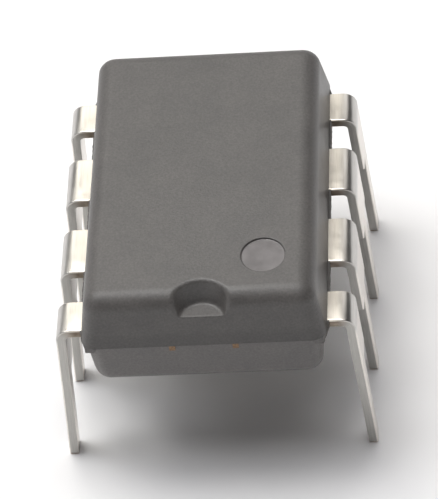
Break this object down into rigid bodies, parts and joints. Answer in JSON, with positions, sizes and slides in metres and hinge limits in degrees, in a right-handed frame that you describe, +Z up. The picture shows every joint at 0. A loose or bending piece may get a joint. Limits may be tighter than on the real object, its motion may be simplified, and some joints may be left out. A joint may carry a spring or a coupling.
{
  "type": "dual in-line chip",
  "caption": "Small integrated circuit in a dark moulded dual in-line package, with splayed tinned leads down both long sides, an end notch and a round dimple.",
  "frame": {"origin": "centre of the footprint, on the plane that the lead tips stand on", "axes": "+X across the package towards the row that holds lead 1, +Y along the package away from the notch, +Z up through the marked face"},
  "size_m": [0.0084, 0.0094, 0.0068],
  "materials": {
    "moulding_compound": "fine matt moulded epoxy",
    "tinned_lead": "dull tin plate",
    "copper_alloy": "bare copper alloy",
    "silver_adhesive": "cured silver-filled epoxy",
    "silicon": "polished silicon",
    "gold_wire": "drawn gold"
  },
  "bodies": {
    "root": {"body": "moulding_compound", "lead_1": "tinned_lead", "lead_2": "tinned_lead", "lead_3": "tinned_lead", "lead_4": "tinned_lead", "lead_5": "tinned_lead", "lead_6": "tinned_lead", "lead_7": "tinned_lead", "lead_8": "tinned_lead", "die_paddle": "copper_alloy", "die_attach": "silver_adhesive", "silicon_die": "silicon", "bond_wire_1": "gold_wire", "bond_wire_2": "gold_wire", "bond_wire_3": "gold_wire", "bond_wire_4": "gold_wire", "bond_wire_5": "gold_wire", "bond_wire_6": "gold_wire", "bond_wire_7": "gold_wire", "bond_wire_8": "gold_wire"}
  },
  "joints": []
}
